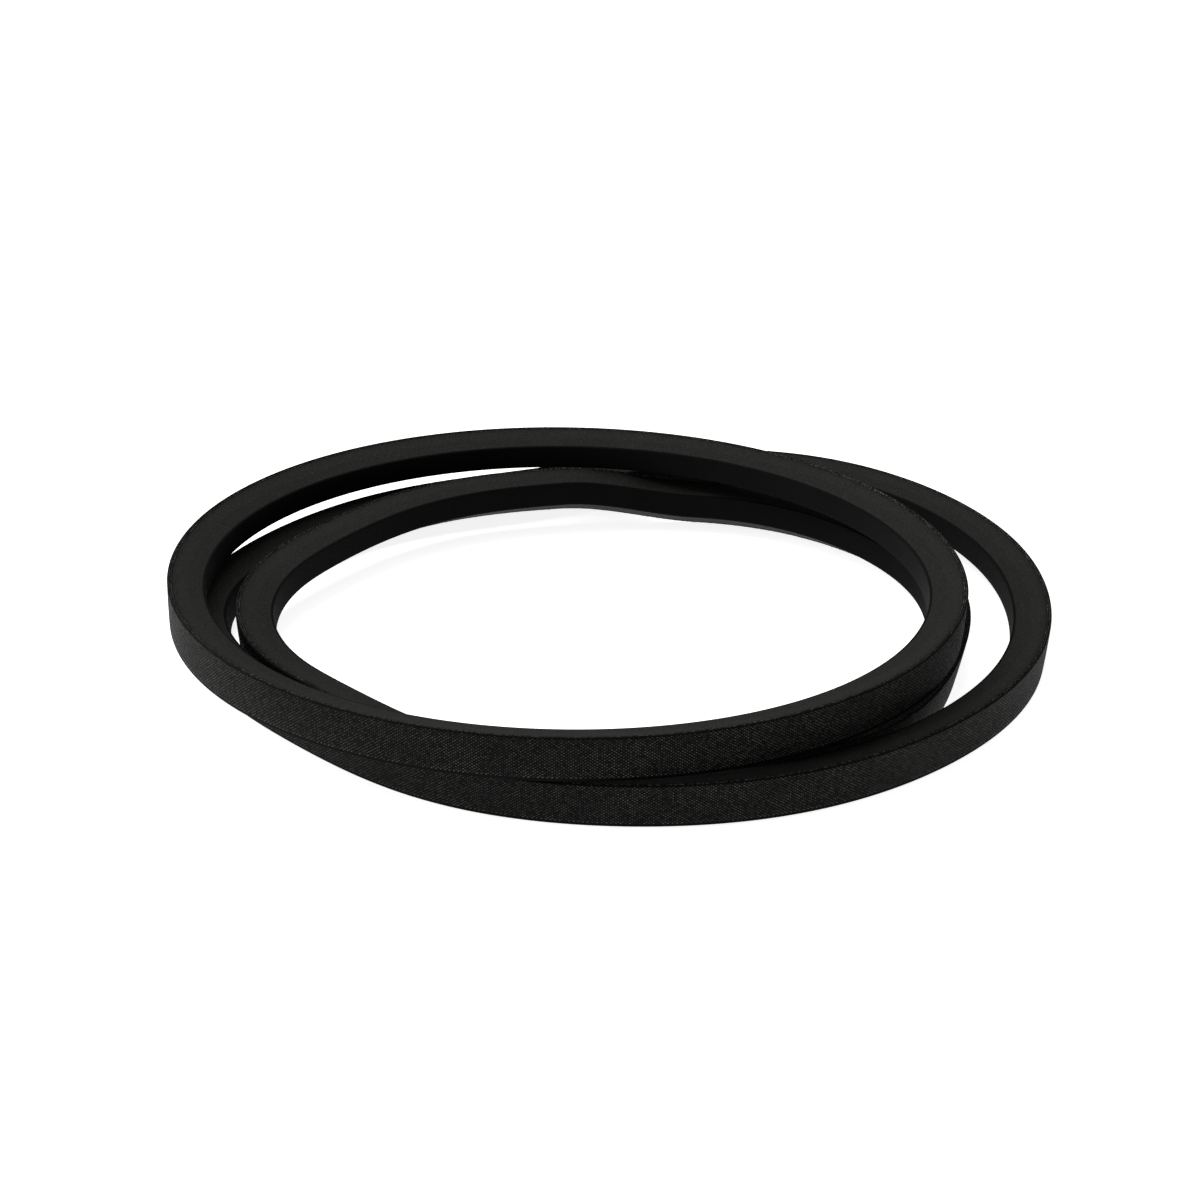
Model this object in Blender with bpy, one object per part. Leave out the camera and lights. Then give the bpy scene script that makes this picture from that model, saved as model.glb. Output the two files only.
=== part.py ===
"""Three endless V-belts of one section, laid on each other in a low stack.

The wide belt and the inner belt lie on the floor, and the top belt lies across both. Each belt is
built up the way a cover-backed belt is: two back plies, overcord rubber, a gum layer in two halves
with the tensile cord between them, compression rubber, and a ply on the base. Every layer is one
flat outline swept round the closed plan line of its belt.

In an outline x is minus the depth below the back face and y is the height across the belt's width.
"""
import math

import bpy

MM = 0.001
OBJECT_NAME = "v_belt"

# Section of every belt, in millimetres.
TOP_WIDTH = 13.0
HALF_ANGLE = math.radians(17.0)
LAYER_GAP = 0.3
SHOULDER_HEIGHT = 0.8
SHOULDER_DEPTH = 0.35

# Layers from the back inwards: name, thickness in millimetres, finish.
LAYERS = (
    ("outer_back_ply", 0.6, "back_fabric"),
    ("inner_back_ply", 0.6, "back_fabric"),
    ("overcord_rubber", 0.8, "rubber"),
    ("upper_gum", 0.4, "gum"),
    ("lower_gum", 2.0, "gum"),
    ("compression_rubber", 3.6, "rubber"),
    ("base_ply", 0.6, "base_fabric"),
)

# Tensile cord: turns side by side, each in its own groove of the lower gum.
CORD_TURNS = 5
CORD_PITCH = 1.8
CORD_RADIUS = 0.5
GROOVE_HALF_WIDTH = 0.75
GROOVE_DEPTH = 1.5

# Stations round each belt. All belts have theirs at the same angles, so their flats run parallel.
STATIONS = 30
STACK_GAP = 0.4

# Each belt's plan line in millimetres: centre, mean radius of the back face, and the waves that
# make it out of round, as wave count: (cosine part, sine part). Roll turns the back face down.
BELTS = {
    "wide_belt": {
        "centre": (7.6, -0.5),
        "radius": 118.2,
        "waves": {
            2: (2.5, 3.5), 3: (-4.6, 1.7), 4: (0.6, -1.8), 5: (0.1, -0.4), 6: (0.6, 0.6), 7: (-0.5, -0.2),
        },
        "roll": math.radians(9.0),
    },
    "inner_belt": {
        "centre": (1.2, -5.7),
        "radius": 100.4,
        "waves": {
            2: (1.9, -0.8), 3: (-2.9, 0.4), 4: (-0.2, 0.1), 5: (-0.9, 0.3), 6: (1.1, 0.7), 7: (-0.1, -0.1),
        },
        "roll": math.radians(10.0),
    },
    "top_belt": {
        "centre": (-13.2, -7.3),
        "radius": 111.6,
        "waves": {2: (0.6, -2.4), 3: (0.1, -0.4), 4: (-0.2, -0.1)},
        "roll": math.radians(3.0),
    },
}

# The inner belt rides up against the wide belt at the back left. Angles in degrees.
LIFT_HEIGHT = 5.0
LIFT_START = (75.0, 100.0)
LIFT_END = (160.0, 205.0)

# Finishes: base colour, roughness. Nothing in a belt is metal.
FINISHES = {
    "back_fabric": ((0.045, 0.045, 0.045, 1.0), 0.85),
    "rubber": ((0.022, 0.022, 0.022, 1.0), 0.7),
    "gum": ((0.03, 0.028, 0.026, 1.0), 0.65),
    "cord": ((0.55, 0.5, 0.4, 1.0), 0.8),
    "base_fabric": ((0.03, 0.03, 0.03, 1.0), 0.9),
}


def clear_scene():
    for item in list(bpy.data.objects):
        bpy.data.objects.remove(item, do_unlink=True)


def new_collection(name):
    collection = bpy.data.collections.new(name)
    bpy.context.scene.collection.children.link(collection)
    return collection


def new_material(name, finish):
    colour, roughness = FINISHES[finish]
    material = bpy.data.materials.new(name)
    material.use_nodes = True
    shader = material.node_tree.nodes["Principled BSDF"]
    shader.inputs["Base Color"].default_value = colour
    shader.inputs["Roughness"].default_value = roughness
    shader.inputs["Metallic"].default_value = 0.0
    material.diffuse_color = colour
    return material


def half_width(depth):
    return TOP_WIDTH / 2 - depth * math.tan(HALF_ANGLE)


def belt_depth():
    return sum(layer[1] for layer in LAYERS) + LAYER_GAP * (len(LAYERS) - 1)


def layer_depths():
    """Depth of each layer's two faces, by name."""
    depths = {}
    depth = 0.0
    for name, thickness, _ in LAYERS:
        depths[name] = (depth, depth + thickness)
        depth += thickness + LAYER_GAP
    return depths


def plain_outline(upper, lower):
    return [
        (-upper, half_width(upper)),
        (-upper, -half_width(upper)),
        (-lower, -half_width(lower)),
        (-lower, half_width(lower)),
    ]


def shouldered_outline(upper, lower):
    """The outermost ply, whose two outer edges are chamfered."""
    face = half_width(upper) - SHOULDER_HEIGHT
    edge = upper + SHOULDER_DEPTH
    return [
        (-upper, face),
        (-upper, -face),
        (-edge, -half_width(edge)),
        (-lower, -half_width(lower)),
        (-lower, half_width(lower)),
        (-edge, half_width(edge)),
    ]


def cord_heights():
    middle = (CORD_TURNS - 1) / 2
    return [(middle - turn) * CORD_PITCH for turn in range(CORD_TURNS)]


def grooved_outline(upper, lower):
    """The lower gum, with one open groove for each turn of the cord."""
    outline = [(-upper, half_width(upper))]
    floor = upper + GROOVE_DEPTH
    for height in cord_heights():
        outline.append((-upper, height + GROOVE_HALF_WIDTH))
        outline.append((-floor, height + GROOVE_HALF_WIDTH))
        outline.append((-floor, height - GROOVE_HALF_WIDTH))
        outline.append((-upper, height - GROOVE_HALF_WIDTH))
    outline.append((-upper, -half_width(upper)))
    outline.append((-lower, -half_width(lower)))
    outline.append((-lower, half_width(lower)))
    return outline


def rolled(point, roll):
    """An outline point after the section rolls about the middle of its back face."""
    across, up = point
    return (
        across * math.cos(roll) + up * math.sin(roll),
        up * math.cos(roll) - across * math.sin(roll),
    )


def section_reach(roll):
    """How far a rolled section reaches above and below the middle of its back face."""
    corners = shouldered_outline(0.0, belt_depth())
    heights = [rolled(corner, roll)[1] for corner in corners]
    return max(heights), -min(heights)


def smooth_step(value, start, end):
    share = min(max((value - start) / (end - start), 0.0), 1.0)
    return share * share * (3 - 2 * share)


def lift(angle):
    degrees = math.degrees(angle) % 360.0
    rise = smooth_step(degrees, *LIFT_START)
    fall = smooth_step(degrees, *LIFT_END)
    return LIFT_HEIGHT * rise * (1 - fall)


def plan_point(belt, angle):
    """Point on the belt's plan line, and the outward direction there."""
    radius = belt["radius"]
    slope = 0.0
    for count, (cosine, sine) in belt["waves"].items():
        radius += cosine * math.cos(count * angle) + sine * math.sin(count * angle)
        slope += count * (sine * math.cos(count * angle) - cosine * math.sin(count * angle))
    x = belt["centre"][0] + radius * math.cos(angle)
    y = belt["centre"][1] + radius * math.sin(angle)
    outward_x = radius * math.cos(angle) + slope * math.sin(angle)
    outward_y = radius * math.sin(angle) - slope * math.cos(angle)
    length = math.hypot(outward_x, outward_y)
    return x, y, outward_x / length, outward_y / length


def belt_stations(name):
    """Middle of the back face at each station, with the outward direction, in millimetres."""
    belt = BELTS[name]
    reach_up, reach_down = section_reach(belt["roll"])
    height = reach_down
    if name == "top_belt":
        floor_up, floor_down = section_reach(BELTS["wide_belt"]["roll"])
        height += floor_up + floor_down + STACK_GAP
    stations = []
    for index in range(STATIONS):
        angle = math.tau * index / STATIONS
        x, y, outward_x, outward_y = plan_point(belt, angle)
        rise = lift(angle) if name == "inner_belt" else 0.0
        stations.append((x, y, height + rise, outward_x, outward_y))
    return stations


def closed_curve(name, points, collection, tilt=0.0):
    """A closed curve through points given in millimetres."""
    curve = bpy.data.curves.new(name, "CURVE")
    curve.dimensions = "3D"
    curve.twist_mode = "Z_UP"
    spline = curve.splines.new("POLY")
    spline.points.add(len(points) - 1)
    for spline_point, (x, y, z) in zip(spline.points, points):
        spline_point.co = (x * MM, y * MM, z * MM, 1.0)
        spline_point.tilt = tilt
    spline.use_cyclic_u = True
    item = bpy.data.objects.new(name, curve)
    collection.objects.link(item)
    return item


def outline_guide(name, outline, guides):
    """A closed flat outline that a layer is swept from."""
    curve = bpy.data.curves.new(name, "CURVE")
    curve.dimensions = "2D"
    curve.fill_mode = "NONE"
    spline = curve.splines.new("POLY")
    spline.points.add(len(outline) - 1)
    for spline_point, (across, up) in zip(spline.points, outline):
        spline_point.co = (across * MM, up * MM, 0.0, 1.0)
    spline.use_cyclic_u = True
    guide = bpy.data.objects.new(name, curve)
    guide.hide_render = True
    guide.display_type = "WIRE"
    guides.objects.link(guide)
    return guide


def layer_guides(guides):
    shapes = {"outer_back_ply": shouldered_outline, "lower_gum": grooved_outline}
    made = {}
    for name, (upper, lower) in layer_depths().items():
        outline = shapes.get(name, plain_outline)(upper, lower)
        made[name] = outline_guide(name + "_outline", outline, guides)
    return made


def add_layer(belt_name, layer_name, guide, finish, collection):
    stations = belt_stations(belt_name)
    name = belt_name + "_" + layer_name
    points = [station[:3] for station in stations]
    item = closed_curve(name, points, collection, tilt=BELTS[belt_name]["roll"])
    item.data.bevel_mode = "OBJECT"
    item.data.bevel_object = guide
    item.data.materials.append(new_material(name, finish))
    return item


def add_cord_turn(belt_name, turn, height, collection):
    """One closed turn of the tensile cord, in its groove."""
    roll = BELTS[belt_name]["roll"]
    depth = layer_depths()["lower_gum"][0] + GROOVE_DEPTH / 2
    across, up = rolled((-depth, height), roll)
    points = []
    for x, y, z, outward_x, outward_y in belt_stations(belt_name):
        points.append((x + across * outward_x, y + across * outward_y, z + up))
    name = belt_name + "_tensile_cord_" + str(turn + 1)
    item = closed_curve(name, points, collection)
    item.data.bevel_mode = "ROUND"
    item.data.bevel_depth = CORD_RADIUS * MM
    item.data.bevel_resolution = 1
    item.data.materials.append(new_material(name, "cord"))
    return item


def build():
    clear_scene()
    collection = new_collection(OBJECT_NAME)
    guides = new_collection("guides")
    outlines = layer_guides(guides)
    for belt_name in BELTS:
        for layer_name, _, finish in LAYERS:
            add_layer(belt_name, layer_name, outlines[layer_name], finish, collection)
        for turn, height in enumerate(cord_heights()):
            add_cord_turn(belt_name, turn, height, collection)


build()
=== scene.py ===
"""Finished look of three endless V-belts lying on each other.

Every layer of a belt is one outline swept round the belt's plan line, in many short steps. The back
is bias-woven fabric under a film of rubber, with rounded shoulders. The cut edges of its two plies
show as two frayed lines on the flank, with a dark groove between them. The rest of the flank is cut
rubber.
"""

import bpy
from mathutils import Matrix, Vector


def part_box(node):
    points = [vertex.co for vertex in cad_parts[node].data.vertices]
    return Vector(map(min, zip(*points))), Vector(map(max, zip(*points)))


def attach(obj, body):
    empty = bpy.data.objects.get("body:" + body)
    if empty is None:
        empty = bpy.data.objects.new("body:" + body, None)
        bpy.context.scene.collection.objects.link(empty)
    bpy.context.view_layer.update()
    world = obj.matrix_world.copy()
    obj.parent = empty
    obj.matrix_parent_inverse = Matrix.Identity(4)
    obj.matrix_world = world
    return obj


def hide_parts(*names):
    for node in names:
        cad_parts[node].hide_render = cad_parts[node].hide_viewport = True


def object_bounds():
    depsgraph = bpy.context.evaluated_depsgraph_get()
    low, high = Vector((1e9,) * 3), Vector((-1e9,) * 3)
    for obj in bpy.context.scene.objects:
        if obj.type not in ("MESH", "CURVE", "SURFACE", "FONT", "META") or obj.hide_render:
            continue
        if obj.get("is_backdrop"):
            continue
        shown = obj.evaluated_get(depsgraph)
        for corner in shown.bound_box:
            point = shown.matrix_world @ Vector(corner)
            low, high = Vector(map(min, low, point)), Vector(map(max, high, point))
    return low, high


bl_info = {
    "name": "V-belt stack",
    "version": (1, 0, 0),
    "blender": (4, 5, 0),
    "location": "3D View > Sidebar > V-belts",
    "description": "Builds the layers, cords and studio of a stack of V-belts",
    "category": "Object",
}

import math
import random
from collections import namedtuple

import bmesh
import bpy
from bpy.props import FloatProperty, FloatVectorProperty, IntProperty, PointerProperty
from mathutils import Vector, noise

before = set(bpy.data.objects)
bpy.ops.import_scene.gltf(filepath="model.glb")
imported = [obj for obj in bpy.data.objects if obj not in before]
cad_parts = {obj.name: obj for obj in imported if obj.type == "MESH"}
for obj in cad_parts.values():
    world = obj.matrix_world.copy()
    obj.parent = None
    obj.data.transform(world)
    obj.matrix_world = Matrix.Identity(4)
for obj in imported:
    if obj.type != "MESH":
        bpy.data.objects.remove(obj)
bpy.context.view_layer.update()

MM = 0.001
BODY = "root"
LENGTHWISE = "lengthwise"

# Each belt's plan line in millimetres: centre, mean radius of the back face, and the waves that
# make it out of round, as wave count: (cosine part, sine part). Roll turns the back face down, in
# degrees, as mean, cosine part and sine part round the belt.
BELTS = {
    "wide_belt": {
        "centre": (7.6, -0.5),
        "radius": 118.2,
        "waves": {
            2: (2.5, 3.5), 3: (-4.6, 1.7), 4: (0.6, -1.8),
            5: (0.1, -0.4), 6: (0.6, 0.6), 7: (-0.5, -0.2),
        },
        "roll": (9.0, -1.9, 0.5),
    },
    "inner_belt": {
        "centre": (1.2, -5.7),
        "radius": 100.4,
        "waves": {
            2: (1.9, -0.8), 3: (-2.9, 0.4), 4: (-0.2, 0.1),
            5: (-0.9, 0.3), 6: (1.1, 0.7), 7: (-0.1, -0.1),
        },
        "roll": (10.0, 4.0, 2.0),
    },
    "top_belt": {
        "centre": (-13.2, -7.3),
        "radius": 111.6,
        "waves": {2: (0.6, -2.4), 3: (0.1, -0.4), 4: (-0.2, -0.1)},
        "roll": (3.0, 2.4, -0.8),
    },
}

# The inner belt rides up against the wide belt at the back left. Millimetres and degrees.
LIFT_HEIGHT = 5.0
LIFT_START = (75.0, 100.0)
LIFT_END = (160.0, 205.0)

# Depth below the back face of the corner that a belt lies on, in millimetres.
RESTING_DEPTH = 0.35

# The bead of the outer ply's cut edge: where it starts, is highest and ends, above the ply's lower
# face, in millimetres.
OUTER_BEAD_START = 0.2
OUTER_BEAD_CREST = 0.12
OUTER_BEAD_END = 0.03

# The groove between the two cut edges and the inner ply's bead below it, in millimetres. A bead
# step is a depth below the groove, with shares of the bead's standing out and of its wander.
GROOVE_WIDTH = 0.28
GROOVE_LIP = 0.02
GROOVE_FOOT = 0.05
LIP_RECESS = 0.2
GROOVE_RECESS = 0.17
HIDDEN_RECESS = 0.3
INNER_BEAD_STEPS = ((0.0, 0.5, 0.6), (0.1, 1.0, 1.0), (0.2, 0.5, 0.6))
INNER_BEAD_END = 0.28

# How a cut edge wanders: noise steps per metre of belt, and the reach of its quick and slow parts
# in millimetres. The slow part has fewer steps by the share given last.
WANDER_STEPS = 900.0
QUICK_WANDER = 0.05
SLOW_WANDER = 0.03
SLOW_SHARE = 0.31

# Loose threads: shortest and longest, their slant either way, how far the tips stand out, and
# their radius, in millimetres.
THREAD_LENGTHS = (0.35, 0.95)
THREAD_SLANT = 0.35
TIP_REACH = (0.06, 0.17)
THREAD_RADIUS = 0.045

# Depth of each layer's two faces below the back face, in millimetres.
DEPTHS = {
    "outer_back_ply": (0.0, 0.75),
    "inner_back_ply": (0.75, 1.65),
    "overcord_rubber": (1.65, 2.75),
    "upper_gum": (2.75, 3.45),
    "lower_gum": (3.45, 5.75),
    "compression_rubber": (5.75, 9.8),
    "base_ply": (9.8, 10.5),
}
CORD_TURNS = 5
CORD_PITCH = 1.8
CORD_RADIUS = 0.5
CORD_DEPTH = 4.3
GROOVE_RADIUS = 0.62

PLY_STATIONS = 480
RUBBER_STATIONS = 360
CORD_STATIONS = 240

# A Mix node's colour sockets, which share their names with the sockets of its other kinds.
MIX_FIRST, MIX_SECOND, MIX_RESULT = 6, 7, 2

# The floor's reach to each side in metres, and the point looked at in millimetres.
FLOOR_REACH = 8.0
CAMERA_TARGET = (-3.28, -13.68, 18.6)

Station = namedtuple("Station", "point outward roll travel")
Corner = namedtuple("Corner", "depth height ragged")


class BeltSection(bpy.types.PropertyGroup):
    top_width: FloatProperty(
        name="Top width", description="Width of the back, corner to corner",
        default=13.0 * MM, unit="LENGTH", subtype="DISTANCE",
    )
    flank_angle: FloatProperty(
        name="Flank angle", description="How far each flank leans in from square to the back",
        default=math.radians(17.0), unit="ROTATION", subtype="ANGLE",
    )
    shoulder_radius: FloatProperty(
        name="Shoulder radius", description="Rounding where the back meets a flank",
        default=0.38 * MM, unit="LENGTH", subtype="DISTANCE",
    )
    base_radius: FloatProperty(
        name="Base radius", description="Rounding where the base meets a flank",
        default=0.35 * MM, unit="LENGTH", subtype="DISTANCE",
    )
    crown: FloatProperty(
        name="Crown", description="How much the back swells between its shoulders",
        default=0.06 * MM, unit="LENGTH", subtype="DISTANCE",
    )
    edge_proud: FloatProperty(
        name="Ply edge", description="How far a ply's cut edge stands out of the flank",
        default=0.08 * MM, unit="LENGTH", subtype="DISTANCE",
    )


class BeltWeave(bpy.types.PropertyGroup):
    thread_pitch: FloatProperty(
        name="Thread pitch", description="Distance between neighbouring threads",
        default=0.7 * MM, unit="LENGTH", subtype="DISTANCE",
    )
    bias: FloatProperty(
        name="Bias", description="Angle of both thread directions to the belt's length",
        default=math.radians(35.0), unit="ROTATION", subtype="ANGLE",
    )
    relief: FloatProperty(
        name="Relief", description="Height of a thread's crown above the gaps",
        default=0.14 * MM, unit="LENGTH", subtype="DISTANCE",
    )
    smooth_band: FloatProperty(
        name="Smooth band", description="Width of pressed weave along the lower shoulder",
        default=0.9 * MM, unit="LENGTH", subtype="DISTANCE",
    )
    threads_per_line: IntProperty(
        name="Thread ends", description="Loose thread ends along each cut edge",
        default=300, min=0,
    )


class BeltColours(bpy.types.PropertyGroup):
    fabric: FloatVectorProperty(
        name="Fabric", description="Rubber-filled cloth in the gaps of the weave",
        subtype="COLOR", size=4, default=(0.0025, 0.0025, 0.0025, 1.0), min=0.0, max=1.0,
    )
    crowns: FloatVectorProperty(
        name="Thread crowns", description="Tops of the threads, rubbed paler",
        subtype="COLOR", size=4, default=(0.066, 0.064, 0.057, 1.0), min=0.0, max=1.0,
    )
    flank: FloatVectorProperty(
        name="Flank", description="Cut rubber of the flanks",
        subtype="COLOR", size=4, default=(0.0082, 0.0081, 0.0071, 1.0), min=0.0, max=1.0,
    )
    frayed: FloatVectorProperty(
        name="Frayed edge", description="Cut ends of the plies' threads",
        subtype="COLOR", size=4, default=(0.13, 0.126, 0.108, 1.0), min=0.0, max=1.0,
    )
    base: FloatVectorProperty(
        name="Base", description="Cloth on the narrow face",
        subtype="COLOR", size=4, default=(0.002, 0.002, 0.002, 1.0), min=0.0, max=1.0,
    )
    cord: FloatVectorProperty(
        name="Cord", description="Twisted polyester cord",
        subtype="COLOR", size=4, default=(0.55, 0.5, 0.4, 1.0), min=0.0, max=1.0,
    )


class BeltStudio(bpy.types.PropertyGroup):
    floor: FloatVectorProperty(
        name="Floor", description="Plain pale floor",
        subtype="COLOR", size=4, default=(0.9, 0.9, 0.9, 1.0), min=0.0, max=1.0,
    )
    floor_glow: FloatProperty(
        name="Floor glow", description="Light that the floor gives off, as a lit table does",
        default=0.85, min=0.0,
    )
    sky: FloatProperty(
        name="Sky", description="Strength of the even light all round", default=0.3, min=0.0,
    )
    top_power: FloatProperty(
        name="Top light", description="Power of the light overhead",
        default=27.0, min=0.0, unit="POWER",
    )
    side_power: FloatProperty(
        name="Side light", description="Power of the low light at the left",
        default=8.0, min=0.0, unit="POWER",
    )
    distance: FloatProperty(
        name="Camera distance", description="From the camera to the point that it looks at",
        default=1.0244, unit="LENGTH", subtype="DISTANCE",
    )
    elevation: FloatProperty(
        name="Camera elevation", description="Angle of the camera above the horizon",
        default=math.radians(23.586), unit="ROTATION", subtype="ANGLE",
    )
    lens: FloatProperty(
        name="Lens", description="Focal length in millimetres", default=109.29, min=1.0,
    )


# ---------------------------------------------------------------------------------------------
# Plan line and sections
# ---------------------------------------------------------------------------------------------


def half_width(depth):
    """Half the belt's width at a depth below the back face, both in millimetres."""
    section = bpy.context.scene.belt_section
    return section.top_width / MM / 2 - depth * math.tan(section.flank_angle)


def smooth_step(value, start, end):
    share = min(max((value - start) / (end - start), 0.0), 1.0)
    return share * share * (3 - 2 * share)


def lift(angle):
    degrees = math.degrees(angle) % 360.0
    rise = smooth_step(degrees, *LIFT_START)
    fall = smooth_step(degrees, *LIFT_END)
    return LIFT_HEIGHT * rise * (1 - fall)


def resting_reach(roll):
    """Height of the middle of the back face above the corner that the belt lies on."""
    return half_width(RESTING_DEPTH) * math.cos(roll) - RESTING_DEPTH * math.sin(roll)


def plan_point(belt, angle):
    """Point on the plan line in millimetres, and the outward direction there."""
    radius = belt["radius"]
    slope = 0.0
    for count, (cosine, sine) in belt["waves"].items():
        radius += cosine * math.cos(count * angle) + sine * math.sin(count * angle)
        slope += count * (sine * math.cos(count * angle) - cosine * math.sin(count * angle))
    along = Vector((math.cos(angle), math.sin(angle), 0.0))
    aside = Vector((-math.sin(angle), math.cos(angle), 0.0))
    point = Vector((*belt["centre"], 0.0)) + along * radius
    outward = (along * radius - aside * slope).normalized()
    return point, outward


def belt_stations(name, count):
    """Stations round a belt in metres. Travel is fitted to a whole number of weave repeats."""
    belt = BELTS[name]
    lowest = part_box(name + "_outer_back_ply")[0].z / MM
    mean, cosine, sine = belt["roll"]
    places = []
    for index in range(count):
        angle = math.tau * index / count
        point, outward = plan_point(belt, angle)
        roll = math.radians(mean + cosine * math.cos(angle) + sine * math.sin(angle))
        point.z = lowest + resting_reach(roll) + (lift(angle) if name == "inner_belt" else 0.0)
        places.append((point * MM, outward, roll))
    travel = [0.0]
    for index in range(count):
        step = places[(index + 1) % count][0] - places[index][0]
        travel.append(travel[-1] + step.length)
    weave = bpy.context.scene.belt_weave
    repeat = 2 * weave.thread_pitch / math.sin(weave.bias)
    stretch = round(travel[-1] / repeat) * repeat / travel[-1]
    stations = [Station(*place, distance * stretch) for place, distance in zip(places, travel)]
    stations.append(Station(*places[0], travel[-1] * stretch))
    return stations


def arc(centre_depth, centre_height, radius, start, end, steps):
    """Corners along an arc. Angles in degrees from straight out of the back towards the flank."""
    corners = []
    for step in range(steps + 1):
        angle = math.radians(start + (end - start) * step / steps)
        depth = centre_depth - radius * math.cos(angle)
        corners.append(Corner(depth, centre_height + radius * math.sin(angle), 0.0))
    return corners


def outer_ply_half():
    """Half the outer ply: crowned back, rounded shoulder and the bead of its cut edge."""
    section = bpy.context.scene.belt_section
    radius = section.shoulder_radius / MM
    crown = section.crown / MM
    proud = section.edge_proud / MM
    lean = section.flank_angle
    shoulder = half_width(0.0) - radius * (1 + math.sin(lean)) / math.cos(lean)
    corners = []
    for step in range(6):
        height = shoulder * step / 6
        corners.append(Corner(-crown * math.cos(height / shoulder * math.pi / 2), height, 0.0))
    corners += arc(radius, shoulder, radius, 0.0, 90.0 + math.degrees(lean), 9)
    lower = DEPTHS["outer_back_ply"][1]
    bead = lower - OUTER_BEAD_START
    crest = lower - OUTER_BEAD_CREST
    corners.append(Corner(bead, half_width(bead) + proud * 0.5, 0.5))
    corners.append(Corner(crest, half_width(crest) + proud, 1.0))
    corners.append(Corner(lower - OUTER_BEAD_END, half_width(lower) + proud * 0.6, 1.0))
    corners.append(Corner(lower, half_width(lower) - proud, 0.0))
    corners.append(Corner(lower, half_width(lower) - HIDDEN_RECESS, 0.0))
    return corners


def inner_ply_half():
    """Half the inner ply: the groove under the outer ply, then the bead of its own cut edge."""
    proud = bpy.context.scene.belt_section.edge_proud / MM
    upper, lower = DEPTHS["inner_back_ply"]
    bead = upper + GROOVE_WIDTH
    bead_end = bead + INNER_BEAD_END
    corners = [
        Corner(upper, half_width(upper) - HIDDEN_RECESS, 0.0),
        Corner(upper + GROOVE_LIP, half_width(upper) - LIP_RECESS, 0.0),
        Corner(bead - GROOVE_FOOT, half_width(bead) - GROOVE_RECESS, 0.0),
    ]
    for step, share, ragged in INNER_BEAD_STEPS:
        corners.append(Corner(bead + step, half_width(bead + step) + proud * share, ragged))
    corners.append(Corner(bead_end, half_width(bead_end), 0.0))
    corners.append(Corner(lower, half_width(lower), 0.0))
    return corners


def plain_half(layer):
    upper, lower = DEPTHS[layer]
    return [Corner(upper, half_width(upper), 0.0), Corner(lower, half_width(lower), 0.0)]


def lower_gum_half():
    """Half the lower gum, with a round-bottomed groove for each turn of the cord."""
    upper = DEPTHS["lower_gum"][0]
    corners = []
    for turn in range((CORD_TURNS + 1) // 2):
        middle = turn * CORD_PITCH
        first_step = -3 if turn else 0
        if turn:
            corners.append(Corner(upper, middle - GROOVE_RADIUS, 0.0))
        for step in range(first_step, 4):
            angle = math.radians(30.0 * step)
            depth = CORD_DEPTH + GROOVE_RADIUS * math.cos(angle)
            corners.append(Corner(depth, middle + GROOVE_RADIUS * math.sin(angle), 0.0))
        corners.append(Corner(upper, middle + GROOVE_RADIUS, 0.0))
    return corners + plain_half("lower_gum")


def base_ply_half():
    """Half the base ply, from the middle of the narrow face round its edge."""
    section = bpy.context.scene.belt_section
    radius = section.base_radius / MM
    upper, lower = DEPTHS["base_ply"]
    lean = section.flank_angle
    edge = half_width(lower) - radius * (1 - math.sin(lean)) / math.cos(lean)
    corners = [Corner(lower, edge * step / 3, 0.0) for step in range(3)]
    for step in range(6):
        angle = (math.pi / 2 - lean) * step / 5
        depth = lower - radius + radius * math.cos(angle)
        corners.append(Corner(depth, edge + radius * math.sin(angle), 0.0))
    corners.append(Corner(upper, half_width(upper), 0.0))
    return corners


def whole_outline(half):
    """A half outline and its mirror image, with the distance along it from the middle."""
    distances = [0.0]
    for before, after in zip(half, half[1:]):
        step = math.hypot(after.depth - before.depth, after.height - before.height)
        distances.append(distances[-1] + step)
    outline = list(zip(half, distances))
    for corner, distance in reversed(outline[:]):
        if corner.height > 0.0:
            outline.append((Corner(corner.depth, -corner.height, corner.ragged), -distance))
    return outline


def place(station, depth, height):
    """Point of the section at a station, from its depth and height in millimetres."""
    cosine = math.cos(station.roll)
    sine = math.sin(station.roll)
    across = -depth * cosine + height * sine
    up = height * cosine + depth * sine
    return station.point + station.outward * (across * MM) + Vector((0.0, 0.0, up * MM))


def raggedness(station, side, seed):
    """How far a cut edge wanders in or out, in millimetres."""
    spot = Vector((station.travel * WANDER_STEPS, side * 7.0, seed))
    return QUICK_WANDER * noise.noise(spot) + SLOW_WANDER * noise.noise(spot * SLOW_SHARE)


def sweep(name, stations, half, seed=0.0):
    """A closed band swept round a belt, with a lengthwise map in metres."""
    outline = whole_outline(half)
    band = bmesh.new()
    chart = band.loops.layers.uv.new(LENGTHWISE)
    rings = []
    for station in stations[:-1]:
        ring = []
        for corner, _ in outline:
            side = math.copysign(1.0, corner.height)
            wander = corner.ragged * raggedness(station, side, seed) if corner.ragged else 0.0
            ring.append(band.verts.new(place(station, corner.depth, corner.height + side * wander)))
        rings.append(ring)
    count = len(outline)
    for index, ring in enumerate(rings):
        following = rings[(index + 1) % len(rings)]
        here = stations[index].travel
        there = stations[index + 1].travel
        for start in range(count):
            end = (start + 1) % count
            face = band.faces.new((ring[start], ring[end], following[end], following[start]))
            near = outline[start][1] * MM
            far = outline[end][1] * MM
            spots = ((here, near), (here, far), (there, far), (there, near))
            for loop, spot in zip(face.loops, spots):
                loop[chart].uv = spot
    return finish_mesh(name, band)


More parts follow.
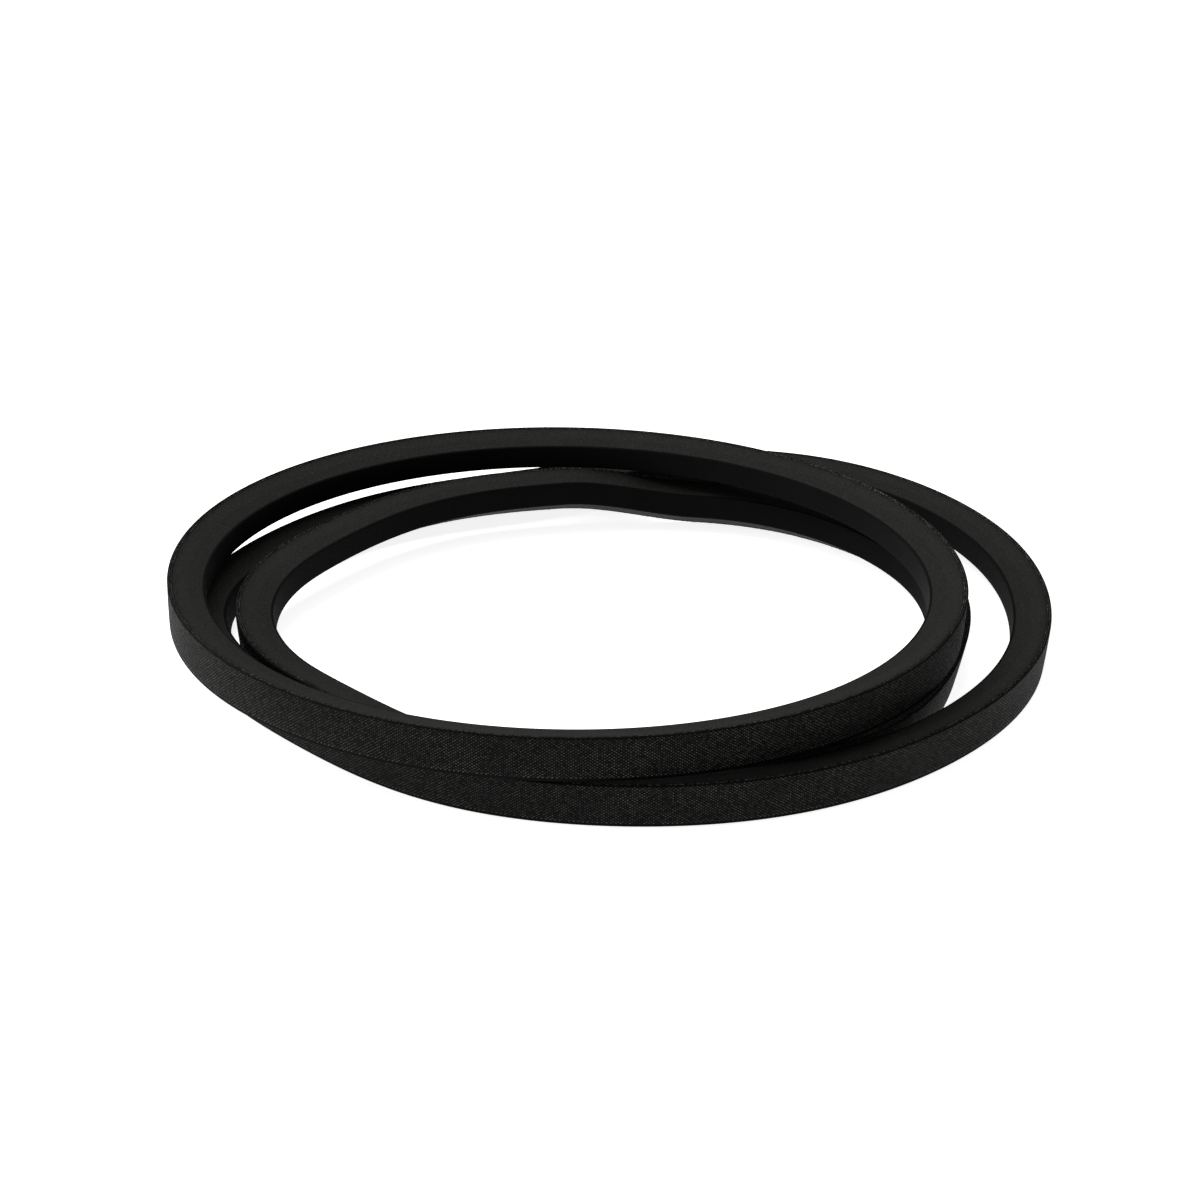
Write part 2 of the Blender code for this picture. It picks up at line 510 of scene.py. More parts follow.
def finish_mesh(name, shape, sharp_angle=math.radians(38.0)):
    bmesh.ops.recalc_face_normals(shape, faces=shape.faces)
    mesh = bpy.data.meshes.new(name)
    shape.to_mesh(mesh)
    shape.free()
    mesh.shade_smooth()
    mesh.set_sharp_from_angle(angle=sharp_angle)
    piece = bpy.data.objects.new(name, mesh)
    bpy.context.scene.collection.objects.link(piece)
    return piece


def settle(piece, material, slot, *nodes):
    """Gives a piece its material, fixes it to the belts' body and lets it stand for CAD nodes."""
    piece.data.materials.append(material)
    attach(piece, BODY)
    if nodes:
        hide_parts(*nodes)


# ---------------------------------------------------------------------------------------------
# Shader groups and materials
# ---------------------------------------------------------------------------------------------


def new_group(name, inputs, outputs):
    """A shader group with float or vector inputs and float outputs."""
    group = bpy.data.node_groups.new(name, "ShaderNodeTree")
    for label, kind, default in inputs:
        socket = group.interface.new_socket(name=label, in_out="INPUT", socket_type=kind)
        if default is not None:
            socket.default_value = default
    for label in outputs:
        group.interface.new_socket(name=label, in_out="OUTPUT", socket_type="NodeSocketFloat")
    entry = group.nodes.new("NodeGroupInput")
    leaving = group.nodes.new("NodeGroupOutput")
    return group, entry, leaving


def math_node(tree, operation, first, second=None, third=None, clamp=False):
    """A Math node whose inputs are numbers or sockets. Returns its output."""
    node = tree.nodes.new("ShaderNodeMath")
    node.operation = operation
    node.use_clamp = clamp
    for socket, value in zip(node.inputs, (first, second, third)):
        if value is None:
            continue
        if isinstance(value, bpy.types.NodeSocket):
            tree.links.new(value, socket)
        else:
            socket.default_value = value
    return node.outputs[0]


def ramp(tree, value, low, high, to_low=0.0, to_high=1.0):
    """Smoothly maps low..high to to_low..to_high. Returns the output."""
    node = tree.nodes.new("ShaderNodeMapRange")
    node.interpolation_type = "SMOOTHSTEP"
    limits = (("From Min", low), ("From Max", high), ("To Min", to_low), ("To Max", to_high))
    for label, number in limits:
        node.inputs[label].default_value = number
    tree.links.new(value, node.inputs["Value"])
    return node.outputs["Result"]


def noise_node(tree, vector, scale, detail=2.0, roughness=0.5):
    node = tree.nodes.new("ShaderNodeTexNoise")
    node.inputs["Scale"].default_value = scale
    node.inputs["Detail"].default_value = detail
    node.inputs["Roughness"].default_value = roughness
    tree.links.new(vector, node.inputs["Vector"])
    return node.outputs["Fac"]


def bias_weave_group():
    """Plain weave of two thread directions, each leaning off the belt's length.

    Threads are counted by first and second. Where both counts cross an even cell the first
    direction lies on top, and in an odd cell the second one does.
    """
    inputs = (
        ("Lengthwise", "NodeSocketVector", None),
        ("Pitch", "NodeSocketFloat", 0.7 * MM),
        ("Bias", "NodeSocketFloat", math.radians(35.0)),
        ("Wander", "NodeSocketFloat", 0.1),
    )
    tree, entry, leaving = new_group("bias_weave", inputs, ("Height", "Crown", "Thread shade"))
    split = tree.nodes.new("ShaderNodeSeparateXYZ")
    tree.links.new(entry.outputs["Lengthwise"], split.inputs[0])
    bias = entry.outputs["Bias"]
    pitch = entry.outputs["Pitch"]
    drift = noise_node(tree, entry.outputs["Lengthwise"], 260.0)
    drift = math_node(tree, "SUBTRACT", drift, 0.5)
    drift = math_node(tree, "MULTIPLY", drift, entry.outputs["Wander"])
    along = math_node(tree, "MULTIPLY", split.outputs["X"], math_node(tree, "SINE", bias))
    across = math_node(tree, "MULTIPLY", split.outputs["Y"], math_node(tree, "COSINE", bias))
    first = math_node(tree, "DIVIDE", math_node(tree, "ADD", across, along), pitch)
    second = math_node(tree, "DIVIDE", math_node(tree, "SUBTRACT", across, along), pitch)
    first = math_node(tree, "ADD", first, drift)
    second = math_node(tree, "ADD", second, drift)
    first_wave = math_node(tree, "SINE", math_node(tree, "MULTIPLY", first, math.pi))
    second_wave = math_node(tree, "SINE", math_node(tree, "MULTIPLY", second, math.pi))
    parity = math_node(tree, "MULTIPLY", first_wave, second_wave)
    over = ramp(tree, parity, -0.5, 0.5)
    under = math_node(tree, "SUBTRACT", 1.0, over)
    first_round = math_node(tree, "POWER", math_node(tree, "ABSOLUTE", first_wave), 0.8)
    second_round = math_node(tree, "POWER", math_node(tree, "ABSOLUTE", second_wave), 0.8)
    first_top = math_node(tree, "MULTIPLY", first_round, over)
    second_top = math_node(tree, "MULTIPLY", second_round, under)
    height = math_node(tree, "MAXIMUM", first_top, second_top)
    crown = ramp(tree, math_node(tree, "MULTIPLY", first_round, second_round), 0.45, 0.95)
    cell = tree.nodes.new("ShaderNodeCombineXYZ")
    tree.links.new(math_node(tree, "FLOOR", first), cell.inputs[0])
    tree.links.new(math_node(tree, "FLOOR", second), cell.inputs[1])
    shade = tree.nodes.new("ShaderNodeTexWhiteNoise")
    shade.noise_dimensions = "2D"
    tree.links.new(cell.outputs[0], shade.inputs["Vector"])
    tree.links.new(height, leaving.inputs["Height"])
    tree.links.new(math_node(tree, "MULTIPLY", crown, height), leaving.inputs["Crown"])
    tree.links.new(shade.outputs["Value"], leaving.inputs["Thread shade"])
    return tree


def rubber_grain_group():
    """Fine pits and specks of moulded or cut rubber, with slow cloudy patches."""
    inputs = (
        ("Vector", "NodeSocketVector", None),
        ("Grain size", "NodeSocketFloat", 0.35 * MM),
    )
    tree, entry, leaving = new_group("rubber_grain", inputs, ("Height", "Speck", "Cloud"))
    scaled = tree.nodes.new("ShaderNodeVectorMath")
    scaled.operation = "SCALE"
    tree.links.new(entry.outputs["Vector"], scaled.inputs[0])
    grains = math_node(tree, "DIVIDE", 1.0, entry.outputs["Grain size"])
    tree.links.new(grains, scaled.inputs["Scale"])
    fine = noise_node(tree, scaled.outputs[0], 1.0, detail=3.0, roughness=0.6)
    coarse = noise_node(tree, scaled.outputs[0], 0.28, detail=2.0)
    cloud = noise_node(tree, scaled.outputs[0], 0.03, detail=3.0)
    height = math_node(tree, "MULTIPLY_ADD", coarse, 0.6, math_node(tree, "MULTIPLY", fine, 0.4))
    tree.links.new(height, leaving.inputs["Height"])
    tree.links.new(ramp(tree, fine, 0.46, 0.72), leaving.inputs["Speck"])
    tree.links.new(ramp(tree, cloud, 0.3, 0.7), leaving.inputs["Cloud"])
    return tree


def cut_threads_group():
    """Ends of cut threads along a ply's edge: short paler dashes of uneven length."""
    inputs = (
        ("Lengthwise", "NodeSocketVector", None),
        ("Spacing", "NodeSocketFloat", 0.6 * MM),
    )
    tree, entry, leaving = new_group("cut_threads", inputs, ("Height", "Thread end"))
    split = tree.nodes.new("ShaderNodeSeparateXYZ")
    tree.links.new(entry.outputs["Lengthwise"], split.inputs[0])
    count = math_node(tree, "DIVIDE", split.outputs["X"], entry.outputs["Spacing"])
    slant = math_node(tree, "MULTIPLY", split.outputs["Y"], 2200.0)
    stretched = tree.nodes.new("ShaderNodeCombineXYZ")
    tree.links.new(count, stretched.inputs[0])
    tree.links.new(slant, stretched.inputs[1])
    dashes = noise_node(tree, stretched.outputs[0], 1.0, detail=1.0)
    patches = noise_node(tree, stretched.outputs[0], 0.09, detail=1.0)
    ends = ramp(tree, dashes, 0.47, 0.66)
    fading = ramp(tree, patches, 0.35, 0.6, 0.25, 1.0)
    lifted = math_node(tree, "MULTIPLY", ends, fading)
    tree.links.new(dashes, leaving.inputs["Height"])
    tree.links.new(lifted, leaving.inputs["Thread end"])
    return tree


def shared_group(name):
    makers = {
        "bias_weave": bias_weave_group,
        "rubber_grain": rubber_grain_group,
        "cut_threads": cut_threads_group,
    }
    return bpy.data.node_groups.get(name) or makers[name]()


def new_material(name, roughness, specular):
    """A material with its Principled shader, whose plain values go straight on its sockets."""
    material = bpy.data.materials.new(name)
    material.use_nodes = True
    shader = material.node_tree.nodes["Principled BSDF"]
    shader.inputs["Metallic"].default_value = 0.0
    shader.inputs["Roughness"].default_value = roughness
    shader.inputs["Specular IOR Level"].default_value = specular
    return material, material.node_tree, shader


def group_node(tree, name, **values):
    node = tree.nodes.new("ShaderNodeGroup")
    node.node_tree = shared_group(name)
    for label, value in values.items():
        node.inputs[label.replace("_", " ").capitalize()].default_value = value
    return node


def lengthwise_map(tree):
    node = tree.nodes.new("ShaderNodeUVMap")
    node.uv_map = LENGTHWISE
    return node.outputs["UV"]


def object_place(tree):
    return tree.nodes.new("ShaderNodeTexCoord").outputs["Object"]


def mix_colours(tree, factor, first, second):
    """Mixes two colours, each a tuple or a socket. Returns the output."""
    node = tree.nodes.new("ShaderNodeMix")
    node.data_type = "RGBA"
    tree.links.new(factor, node.inputs["Factor"])
    for socket, value in ((node.inputs[MIX_FIRST], first), (node.inputs[MIX_SECOND], second)):
        if isinstance(value, bpy.types.NodeSocket):
            tree.links.new(value, socket)
        else:
            socket.default_value = value
    return node.outputs[MIX_RESULT]


def bump(tree, shader, height, distance):
    node = tree.nodes.new("ShaderNodeBump")
    node.inputs["Strength"].default_value = 1.0
    node.inputs["Distance"].default_value = distance
    tree.links.new(height, node.inputs["Height"])
    tree.links.new(node.outputs["Normal"], shader.inputs["Normal"])


def scaled_colour(colour, share):
    return (colour[0] * share, colour[1] * share, colour[2] * share, 1.0)


def woven_back():
    """The back: weave up to the upper shoulder, a row of paler crowns and then a smooth band at
    the lower one, and pale thread ends along the cut edge."""
    colours = bpy.context.scene.belt_colours
    weave = bpy.context.scene.belt_weave
    section = bpy.context.scene.belt_section
    material, tree, shader = new_material("woven_back", 0.55, 0.04)
    chart = lengthwise_map(tree)
    split = tree.nodes.new("ShaderNodeSeparateXYZ")
    tree.links.new(chart, split.inputs[0])
    reach = math_node(tree, "ABSOLUTE", split.outputs["Y"])
    flat = section.top_width / 2 - 1.35 * section.shoulder_radius
    below = math_node(tree, "MULTIPLY", split.outputs["Y"], -1.0 - weave.smooth_band / flat)
    woven_reach = math_node(tree, "MAXIMUM", split.outputs["Y"], below)
    woven = ramp(tree, woven_reach, flat - 0.1 * MM, flat + 0.3 * MM, 1.0, 0.0)
    hem = ramp(tree, below, flat - 0.7 * MM, flat - 0.1 * MM)
    edge_start = flat + 1.87 * section.shoulder_radius
    cut_edge = ramp(tree, reach, edge_start - 0.05 * MM, edge_start + 0.08 * MM)
    threads = group_node(tree, "bias_weave", pitch=weave.thread_pitch, bias=weave.bias, wander=0.12)
    tree.links.new(chart, threads.inputs["Lengthwise"])
    grain = group_node(tree, "rubber_grain", grain_size=0.3 * MM)
    tree.links.new(object_place(tree), grain.inputs["Vector"])
    ends = group_node(tree, "cut_threads", spacing=0.55 * MM)
    tree.links.new(chart, ends.inputs["Lengthwise"])
    uneven = math_node(tree, "MULTIPLY_ADD", threads.outputs["Thread shade"], 0.9, 0.1)
    rubbed = math_node(tree, "MULTIPLY", threads.outputs["Crown"], uneven)
    patchy = math_node(tree, "MULTIPLY_ADD", grain.outputs["Cloud"], 0.35, 0.65)
    patchy = math_node(tree, "ADD", patchy, hem)
    rubbed = math_node(tree, "MULTIPLY", rubbed, patchy)
    rubbed = math_node(tree, "MULTIPLY", rubbed, woven, clamp=True)
    cloth = mix_colours(tree, rubbed, tuple(colours.fabric), tuple(colours.crowns))
    pale = math_node(tree, "MULTIPLY", ends.outputs["Thread end"], cut_edge)
    colour = mix_colours(tree, pale, cloth, tuple(colours.frayed))
    tree.links.new(colour, shader.inputs["Base Color"])
    rough = math_node(tree, "MULTIPLY_ADD", rubbed, -0.22, 0.66)
    rough = math_node(tree, "MULTIPLY_ADD", grain.outputs["Speck"], 0.1, rough)
    tree.links.new(rough, shader.inputs["Roughness"])
    relief = math_node(tree, "MULTIPLY", threads.outputs["Height"], woven)
    relief = math_node(tree, "MULTIPLY_ADD", grain.outputs["Height"], 0.15, relief)
    fray = math_node(tree, "MULTIPLY", ends.outputs["Height"], cut_edge)
    relief = math_node(tree, "MULTIPLY_ADD", fray, 0.8, relief)
    bump(tree, shader, relief, weave.relief)
    return material


def cut_ply_edge():
    """The inner ply: dark groove wall, then pale cut thread ends on its bead."""
    colours = bpy.context.scene.belt_colours
    material, tree, shader = new_material("cut_ply_edge", 0.8, 0.08)
    chart = lengthwise_map(tree)
    split = tree.nodes.new("ShaderNodeSeparateXYZ")
    tree.links.new(chart, split.inputs[0])
    reach = math_node(tree, "ABSOLUTE", split.outputs["Y"])
    bead = ramp(tree, reach, 0.38 * MM, 0.5 * MM)
    beyond = ramp(tree, reach, 0.85 * MM, 1.0 * MM, 1.0, 0.0)
    ends = group_node(tree, "cut_threads", spacing=0.5 * MM)
    tree.links.new(chart, ends.inputs["Lengthwise"])
    grain = group_node(tree, "rubber_grain", grain_size=0.3 * MM)
    tree.links.new(object_place(tree), grain.inputs["Vector"])
    crest = math_node(tree, "MULTIPLY", bead, beyond)
    pale = math_node(tree, "MULTIPLY", crest, ends.outputs["Thread end"])
    pale = math_node(tree, "MULTIPLY", pale, 0.5)
    ground = mix_colours(tree, grain.outputs["Speck"], tuple(colours.fabric), tuple(colours.flank))
    colour = mix_colours(tree, pale, ground, tuple(colours.frayed))
    tree.links.new(colour, shader.inputs["Base Color"])
    relief = math_node(tree, "MULTIPLY_ADD", grain.outputs["Height"], 0.4, ends.outputs["Height"])
    bump(tree, shader, relief, 0.1 * MM)
    return material


def rubber_look(name, specular, relief):
    """Matte rubber cut from a sheet, finely speckled, with slow paler patches."""
    colours = bpy.context.scene.belt_colours
    material, tree, shader = new_material(name, 0.75, specular)
    grain = group_node(tree, "rubber_grain", grain_size=0.4 * MM)
    tree.links.new(object_place(tree), grain.inputs["Vector"])
    dark = scaled_colour(colours.flank, 0.6)
    ground = mix_colours(tree, grain.outputs["Cloud"], dark, tuple(colours.flank))
    pale = scaled_colour(colours.flank, 4.0)
    specks = math_node(tree, "MULTIPLY", grain.outputs["Speck"], 0.8)
    colour = mix_colours(tree, specks, ground, pale)
    tree.links.new(colour, shader.inputs["Base Color"])
    rough = math_node(tree, "MULTIPLY_ADD", grain.outputs["Cloud"], 0.12, 0.68)
    tree.links.new(rough, shader.inputs["Roughness"])
    bump(tree, shader, grain.outputs["Height"], relief)
    return material


def cut_rubber():
    """The flanks' rubber, above and below the cord."""
    return rubber_look("cut_rubber", 0.1, 0.14 * MM)


def cord_gum():
    """Softer rubber that holds the cord. On a flank it is cut like the rest."""
    return rubber_look("cord_gum", 0.12, 0.13 * MM)


def base_cloth():
    """Cloth on the narrow face, its weave almost filled with rubber."""
    colours = bpy.context.scene.belt_colours
    weave = bpy.context.scene.belt_weave
    material, tree, shader = new_material("base_cloth", 0.85, 0.05)
    chart = lengthwise_map(tree)
    threads = group_node(tree, "bias_weave", pitch=weave.thread_pitch, bias=weave.bias, wander=0.2)
    tree.links.new(chart, threads.inputs["Lengthwise"])
    grain = group_node(tree, "rubber_grain", grain_size=0.35 * MM)
    tree.links.new(object_place(tree), grain.inputs["Vector"])
    shown = math_node(tree, "MULTIPLY", threads.outputs["Crown"], grain.outputs["Cloud"])
    pale = scaled_colour(colours.base, 2.0)
    colour = mix_colours(tree, shown, tuple(colours.base), pale)
    tree.links.new(colour, shader.inputs["Base Color"])
    rough = math_node(tree, "MULTIPLY_ADD", grain.outputs["Speck"], 0.1, 0.8)
    tree.links.new(rough, shader.inputs["Roughness"])
    height = threads.outputs["Height"]
    relief = math_node(tree, "MULTIPLY_ADD", height, 0.3, grain.outputs["Height"])
    bump(tree, shader, relief, 0.08 * MM)
    return material


def twisted_cord():
    """Polyester cord, its strands showing as a slanted twist."""
    colours = bpy.context.scene.belt_colours
    material, tree, shader = new_material("twisted_cord", 0.7, 0.3)
    chart = lengthwise_map(tree)
    strands = group_node(tree, "bias_weave", pitch=0.4 * MM, bias=math.radians(60.0), wander=0.1)
    tree.links.new(chart, strands.inputs["Lengthwise"])
    dark = scaled_colour(colours.cord, 0.35)
    colour = mix_colours(tree, strands.outputs["Height"], dark, tuple(colours.cord))
    tree.links.new(colour, shader.inputs["Base Color"])
    rough = math_node(tree, "MULTIPLY_ADD", strands.outputs["Thread shade"], 0.15, 0.6)
    tree.links.new(rough, shader.inputs["Roughness"])
    bump(tree, shader, strands.outputs["Height"], 0.1 * MM)
    return material


def loose_thread():
    """Single fibres that have come away from a cut edge."""
    colours = bpy.context.scene.belt_colours
    material, tree, shader = new_material("loose_thread", 0.75, 0.1)
    grain = group_node(tree, "rubber_grain", grain_size=0.6 * MM)
    tree.links.new(object_place(tree), grain.inputs["Vector"])
    dark = scaled_colour(colours.frayed, 0.3)
    pale = scaled_colour(colours.frayed, 1.2)
    colour = mix_colours(tree, grain.outputs["Cloud"], dark, pale)
    tree.links.new(colour, shader.inputs["Base Color"])
    return material


def floor_finish():
    """The floor's plain white, with its own glow."""
    studio = bpy.context.scene.belt_studio
    material, _, shader = new_material("pale_floor", 0.9, 0.0)
    shader.inputs["Base Color"].default_value = tuple(studio.floor)
    shader.inputs["Emission Color"].default_value = (1.0, 1.0, 1.0, 1.0)
    shader.inputs["Emission Strength"].default_value = studio.floor_glow
    return material


def finish(name):
    makers = {
        "woven_back": woven_back,
        "cut_ply_edge": cut_ply_edge,
        "cut_rubber": cut_rubber,
        "cord_gum": cord_gum,
        "base_cloth": base_cloth,
        "twisted_cord": twisted_cord,
        "loose_thread": loose_thread,
        "pale_floor": floor_finish,
    }
    return bpy.data.materials.get(name) or makers[name]()


# ---------------------------------------------------------------------------------------------
# Operators
# ---------------------------------------------------------------------------------------------


class BELTS_OT_add_back_plies(bpy.types.Operator):
    """Add the two woven plies on the back of every belt"""

    bl_idname = "belts.add_back_plies"
    bl_label = "Back plies"

    def execute(self, context):
        for seed, belt in enumerate(BELTS):
            stations = belt_stations(belt, PLY_STATIONS)
            outer = sweep(belt + "_woven_back", stations, outer_ply_half(), seed)
            settle(outer, finish("woven_back"), "back_fabric", belt + "_outer_back_ply")
            inner = sweep(belt + "_second_ply", stations, inner_ply_half(), seed + 0.5)
            settle(inner, finish("cut_ply_edge"), "back_fabric", belt + "_inner_back_ply")
        return {"FINISHED"}


class BELTS_OT_add_rubber(bpy.types.Operator):
    """Add the overcord and compression rubber of every belt"""

    bl_idname = "belts.add_rubber"
    bl_label = "Rubber layers"

    def execute(self, context):
        for belt in BELTS:
            stations = belt_stations(belt, RUBBER_STATIONS)
            for layer in ("overcord_rubber", "compression_rubber"):
                name = belt + "_" + layer.split("_")[0] + "_band"
                piece = sweep(name, stations, plain_half(layer))
                settle(piece, finish("cut_rubber"), "belt_rubber", belt + "_" + layer)
        return {"FINISHED"}


class BELTS_OT_add_gum(bpy.types.Operator):
    """Add the two halves of the gum that holds the cord of every belt"""

    bl_idname = "belts.add_gum"
    bl_label = "Cord gum"

    def execute(self, context):
        for belt in BELTS:
            stations = belt_stations(belt, RUBBER_STATIONS)
            upper = sweep(belt + "_gum_cover", stations, plain_half("upper_gum"))
            settle(upper, finish("cord_gum"), "cushion_gum", belt + "_upper_gum")
            lower = sweep(belt + "_gum_bed", stations, lower_gum_half())
            settle(lower, finish("cord_gum"), "cushion_gum", belt + "_lower_gum")
        return {"FINISHED"}


class BELTS_OT_add_cord(bpy.types.Operator):
    """Add the turns of tensile cord of every belt"""

    bl_idname = "belts.add_cord"
    bl_label = "Tensile cord"

    def execute(self, context):
        middle = (CORD_TURNS - 1) / 2
        for belt in BELTS:
            stations = belt_stations(belt, CORD_STATIONS)
            for turn in range(CORD_TURNS):
                height = (middle - turn) * CORD_PITCH
                name = belt + "_cord_turn_" + str(turn + 1)
                piece = cord_turn(name, stations, height)
                node = belt + "_tensile_cord_" + str(turn + 1)
                settle(piece, finish("twisted_cord"), "tensile_cord", node)
        return {"FINISHED"}


def cord_turn(name, stations, height, sides=10):
    """One closed turn of cord at a height in the section."""
    tube = bmesh.new()
    chart = tube.loops.layers.uv.new(LENGTHWISE)
    rings = []
    for station in stations[:-1]:
        ring = []
        for side in range(sides):
            angle = math.tau * side / sides
            depth = CORD_DEPTH + CORD_RADIUS * math.cos(angle)
            spot = place(station, depth, height + CORD_RADIUS * math.sin(angle))
            ring.append(tube.verts.new(spot))
        rings.append(ring)
    girth = math.tau * CORD_RADIUS * MM / sides
    for index, ring in enumerate(rings):
        following = rings[(index + 1) % len(rings)]
        here = stations[index].travel
        there = stations[index + 1].travel
        for side in range(sides):
            after = (side + 1) % sides
            face = tube.faces.new((ring[side], ring[after], following[after], following[side]))
            near = side * girth
            spots = ((here, near), (here, near + girth), (there, near + girth), (there, near))
            for loop, spot in zip(face.loops, spots):
                loop[chart].uv = spot
    return finish_mesh(name, tube, math.radians(60.0))


class BELTS_OT_add_base(bpy.types.Operator):
    """Add the ply on the narrow face of every belt"""

    bl_idname = "belts.add_base"
    bl_label = "Base ply"

    def execute(self, context):
        for belt in BELTS:
            stations = belt_stations(belt, RUBBER_STATIONS)
            piece = sweep(belt + "_base_cloth", stations, base_ply_half())
            settle(piece, finish("base_cloth"), "base_fabric", belt + "_base_ply")
        return {"FINISHED"}


class BELTS_OT_add_loose_threads(bpy.types.Operator):
    """Add the thread ends that stand out of the plies' cut edges"""

    bl_idname = "belts.add_loose_threads"
    bl_label = "Loose threads"

    def execute(self, context):
        for seed, belt in enumerate(BELTS):
            piece = loose_threads(belt + "_loose_threads", belt_stations(belt, PLY_STATIONS), seed)
            settle(piece, finish("loose_thread"), "back_fabric")
        return {"FINISHED"}


def between(stations, share):
    """Station at a share of the way round a belt."""
    spot = share * (len(stations) - 1)
    index = min(int(spot), len(stations) - 2)
    before, after = stations[index], stations[index + 1]
    part = spot - index
    return Station(
        before.point.lerp(after.point, part),
        before.outward.lerp(after.outward, part).normalized(),
        before.roll + (after.roll - before.roll) * part,
        before.travel + (after.travel - before.travel) * part,
    )


def loose_threads(name, stations, seed):
    """Thin three-sided fibres that lie slantwise along the cut edges."""
    chance = random.Random(seed)
    shape = bmesh.new()
    count = bpy.context.scene.belt_weave.threads_per_line
    total = stations[-1].travel
    outer_line = DEPTHS["outer_back_ply"][1] - 0.1
    inner_line = DEPTHS["inner_back_ply"][0] + GROOVE_WIDTH + 0.1
    lines = [(depth, side) for depth in (outer_line, inner_line) for side in (1.0, -1.0)]
    for depth, side in lines:
        for index in range(count):
            share = (index + chance.uniform(0.0, 0.9)) / count
            length = chance.uniform(*THREAD_LENGTHS) * MM
            rise = chance.uniform(-THREAD_SLANT, THREAD_SLANT)
            start = between(stations, share % 1.0)
            end = between(stations, (share + length / total) % 1.0)
            root = place(start, depth, side * (half_width(depth) + 0.04))
            tip_depth = depth + rise * 0.8
            tip_reach = half_width(tip_depth) + chance.uniform(*TIP_REACH)
            tip = place(end, tip_depth, side * tip_reach)
            add_fibre(shape, root, tip, THREAD_RADIUS * MM)
    return finish_mesh(name, shape)


def add_fibre(shape, root, tip, radius):
    """A closed three-sided fibre that narrows to its tip."""
    along = (tip - root).normalized()
    aside = along.cross(Vector((0.0, 0.0, 1.0))).normalized()
    above = aside.cross(along)
    ends = []
    for spot, size in ((root, radius), (tip, radius * 0.6)):
        ring = []
        for corner in range(3):
            angle = math.tau * corner / 3
            offset = (aside * math.cos(angle) + above * math.sin(angle)) * size
            ring.append(shape.verts.new(spot + offset))
        ends.append(ring)
    first, last = ends
    for corner in range(3):
        after = (corner + 1) % 3
        shape.faces.new((first[corner], first[after], last[after], last[corner]))
    shape.faces.new(reversed(first))
    shape.faces.new(last)


class BELTS_OT_add_studio(bpy.types.Operator):
    """Add the pale floor, the soft lights and the camera"""

    bl_idname = "belts.add_studio"
    bl_label = "Studio"

    def execute(self, context):
        add_floor()
        add_sky()
        add_lights()
        add_camera()
        return {"FINISHED"}


def add_floor():
    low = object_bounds()[0]
    floor = bmesh.new()
    bmesh.ops.create_grid(floor, x_segments=1, y_segments=1, size=FLOOR_REACH)
    for vertex in floor.verts:
        vertex.co.z = low.z
    mesh = bpy.data.meshes.new("floor")
    floor.to_mesh(mesh)
    floor.free()
    mesh.materials.append(finish("pale_floor"))
    item = bpy.data.objects.new("floor", mesh)
    bpy.context.scene.collection.objects.link(item)
    item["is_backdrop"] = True


def add_sky():
    world = bpy.data.worlds.new("studio")
    world.use_nodes = True
    background = world.node_tree.nodes["Background"]
    background.inputs["Color"].default_value = (1.0, 1.0, 1.0, 1.0)
    background.inputs["Strength"].default_value = bpy.context.scene.belt_studio.sky
    bpy.context.scene.world = world


def add_area_light(name, location, target, size, power):
    data = bpy.data.lights.new(name, "AREA")
    data.shape = "RECTANGLE"
    data.size, data.size_y = size
    data.energy = power
    lamp = bpy.data.objects.new(name, data)
    lamp.location = location
    lamp.rotation_euler = (Vector(target) - Vector(location)).to_track_quat("-Z", "Y").to_euler()
    bpy.context.scene.collection.objects.link(lamp)


def add_lights():
    studio = bpy.context.scene.belt_studio
    add_area_light("top_softbox", (-0.6, 0.55, 1.45), (0.0, 0.0, 0.0), (1.8, 1.8), studio.top_power)
    add_area_light("side_softbox", (-1.5, 0.2, 0.6), (0.0, 0.0, 0.0), (1.0, 0.8), studio.side_power)


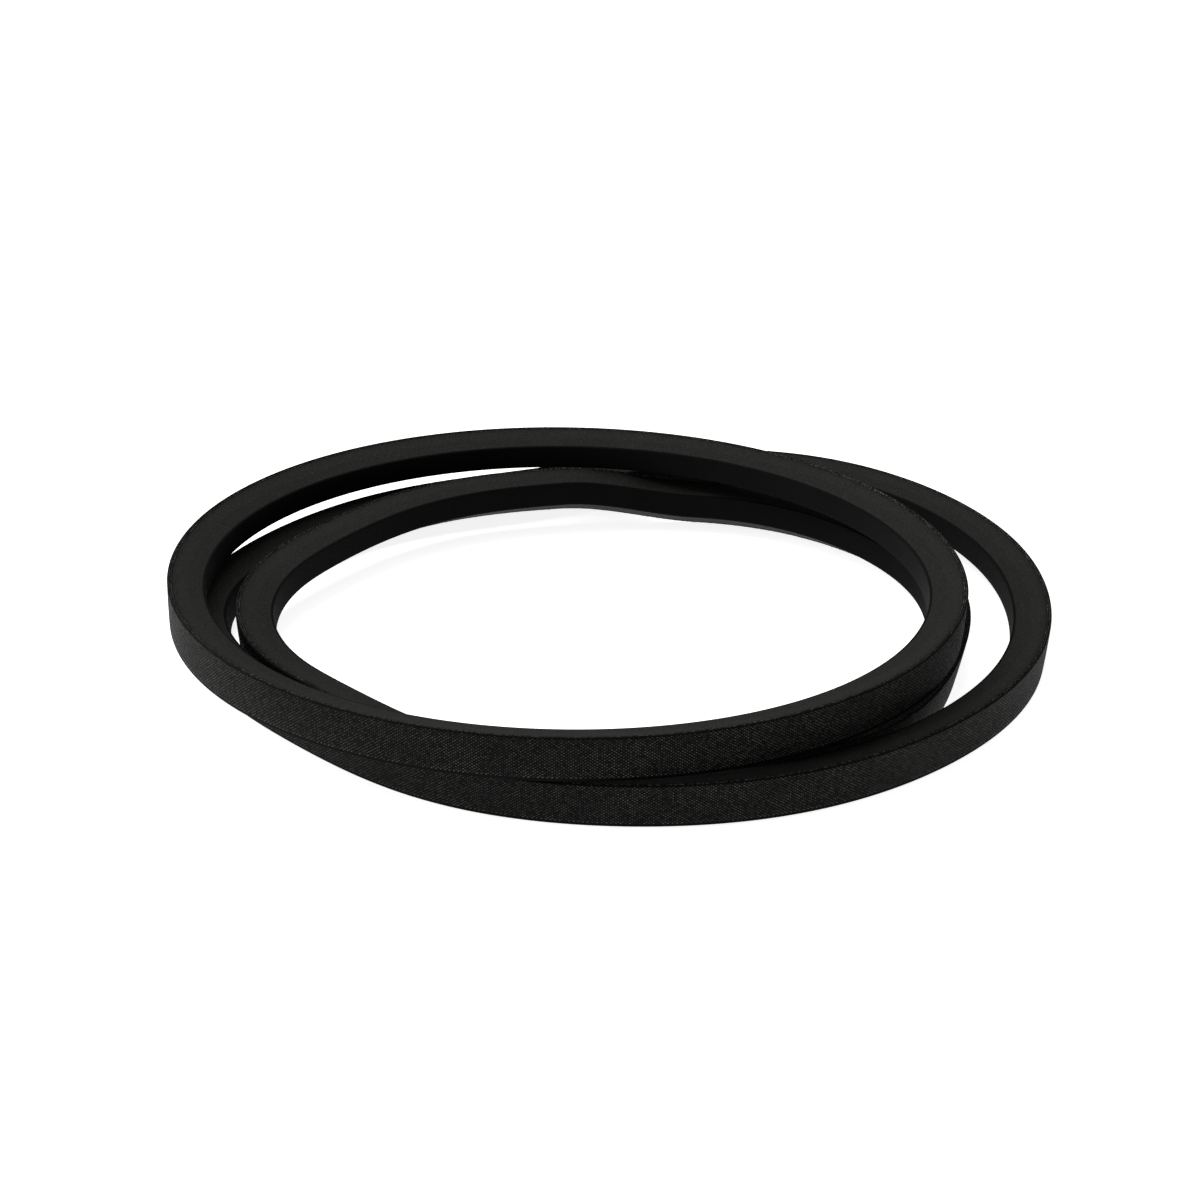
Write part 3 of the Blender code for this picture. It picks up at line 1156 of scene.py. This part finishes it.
def add_camera():
    """The camera looks along +Y and down at a point near the middle of the stack."""
    studio = bpy.context.scene.belt_studio
    target = Vector(CAMERA_TARGET) * MM
    back = Vector((0.0, -math.cos(studio.elevation), math.sin(studio.elevation)))
    data = bpy.data.cameras.new("camera")
    data.sensor_width = 36.0
    data.lens = studio.lens
    data.clip_start = 0.05
    camera = bpy.data.objects.new("camera", data)
    camera.location = target + back * studio.distance
    camera.rotation_euler = (math.pi / 2 - studio.elevation, 0.0, 0.0)
    bpy.context.scene.collection.objects.link(camera)
    bpy.context.scene.camera = camera


class BELTS_PT_panel(bpy.types.Panel):
    """Buttons that build the stack, one group of pieces at a time"""

    bl_idname = "BELTS_PT_panel"
    bl_label = "V-belts"
    bl_space_type = "VIEW_3D"
    bl_region_type = "UI"
    bl_category = "V-belts"

    def draw(self, context):
        for name in SETTINGS:
            settings = getattr(context.scene, name)
            box = self.layout.box()
            for label in settings.__annotations__:
                box.prop(settings, label)
        for operator in OPERATORS:
            self.layout.operator(operator.bl_idname)


SETTINGS = {
    "belt_section": BeltSection,
    "belt_weave": BeltWeave,
    "belt_colours": BeltColours,
    "belt_studio": BeltStudio,
}
OPERATORS = (
    BELTS_OT_add_back_plies,
    BELTS_OT_add_rubber,
    BELTS_OT_add_gum,
    BELTS_OT_add_cord,
    BELTS_OT_add_base,
    BELTS_OT_add_loose_threads,
    BELTS_OT_add_studio,
)


def register():
    for name, group in SETTINGS.items():
        bpy.utils.register_class(group)
        setattr(bpy.types.Scene, name, PointerProperty(type=group))
    for operator in OPERATORS:
        bpy.utils.register_class(operator)
    bpy.utils.register_class(BELTS_PT_panel)


def unregister():
    bpy.utils.unregister_class(BELTS_PT_panel)
    for operator in reversed(OPERATORS):
        bpy.utils.unregister_class(operator)
    for name, group in SETTINGS.items():
        delattr(bpy.types.Scene, name)
        bpy.utils.unregister_class(group)


def main():
    register()
    bpy.ops.belts.add_back_plies()
    bpy.ops.belts.add_rubber()
    bpy.ops.belts.add_gum()
    bpy.ops.belts.add_cord()
    bpy.ops.belts.add_base()
    bpy.ops.belts.add_loose_threads()
    bpy.ops.belts.add_studio()
    bpy.context.scene.view_settings.view_transform = "Standard"


if __name__ == "__main__":
    main()
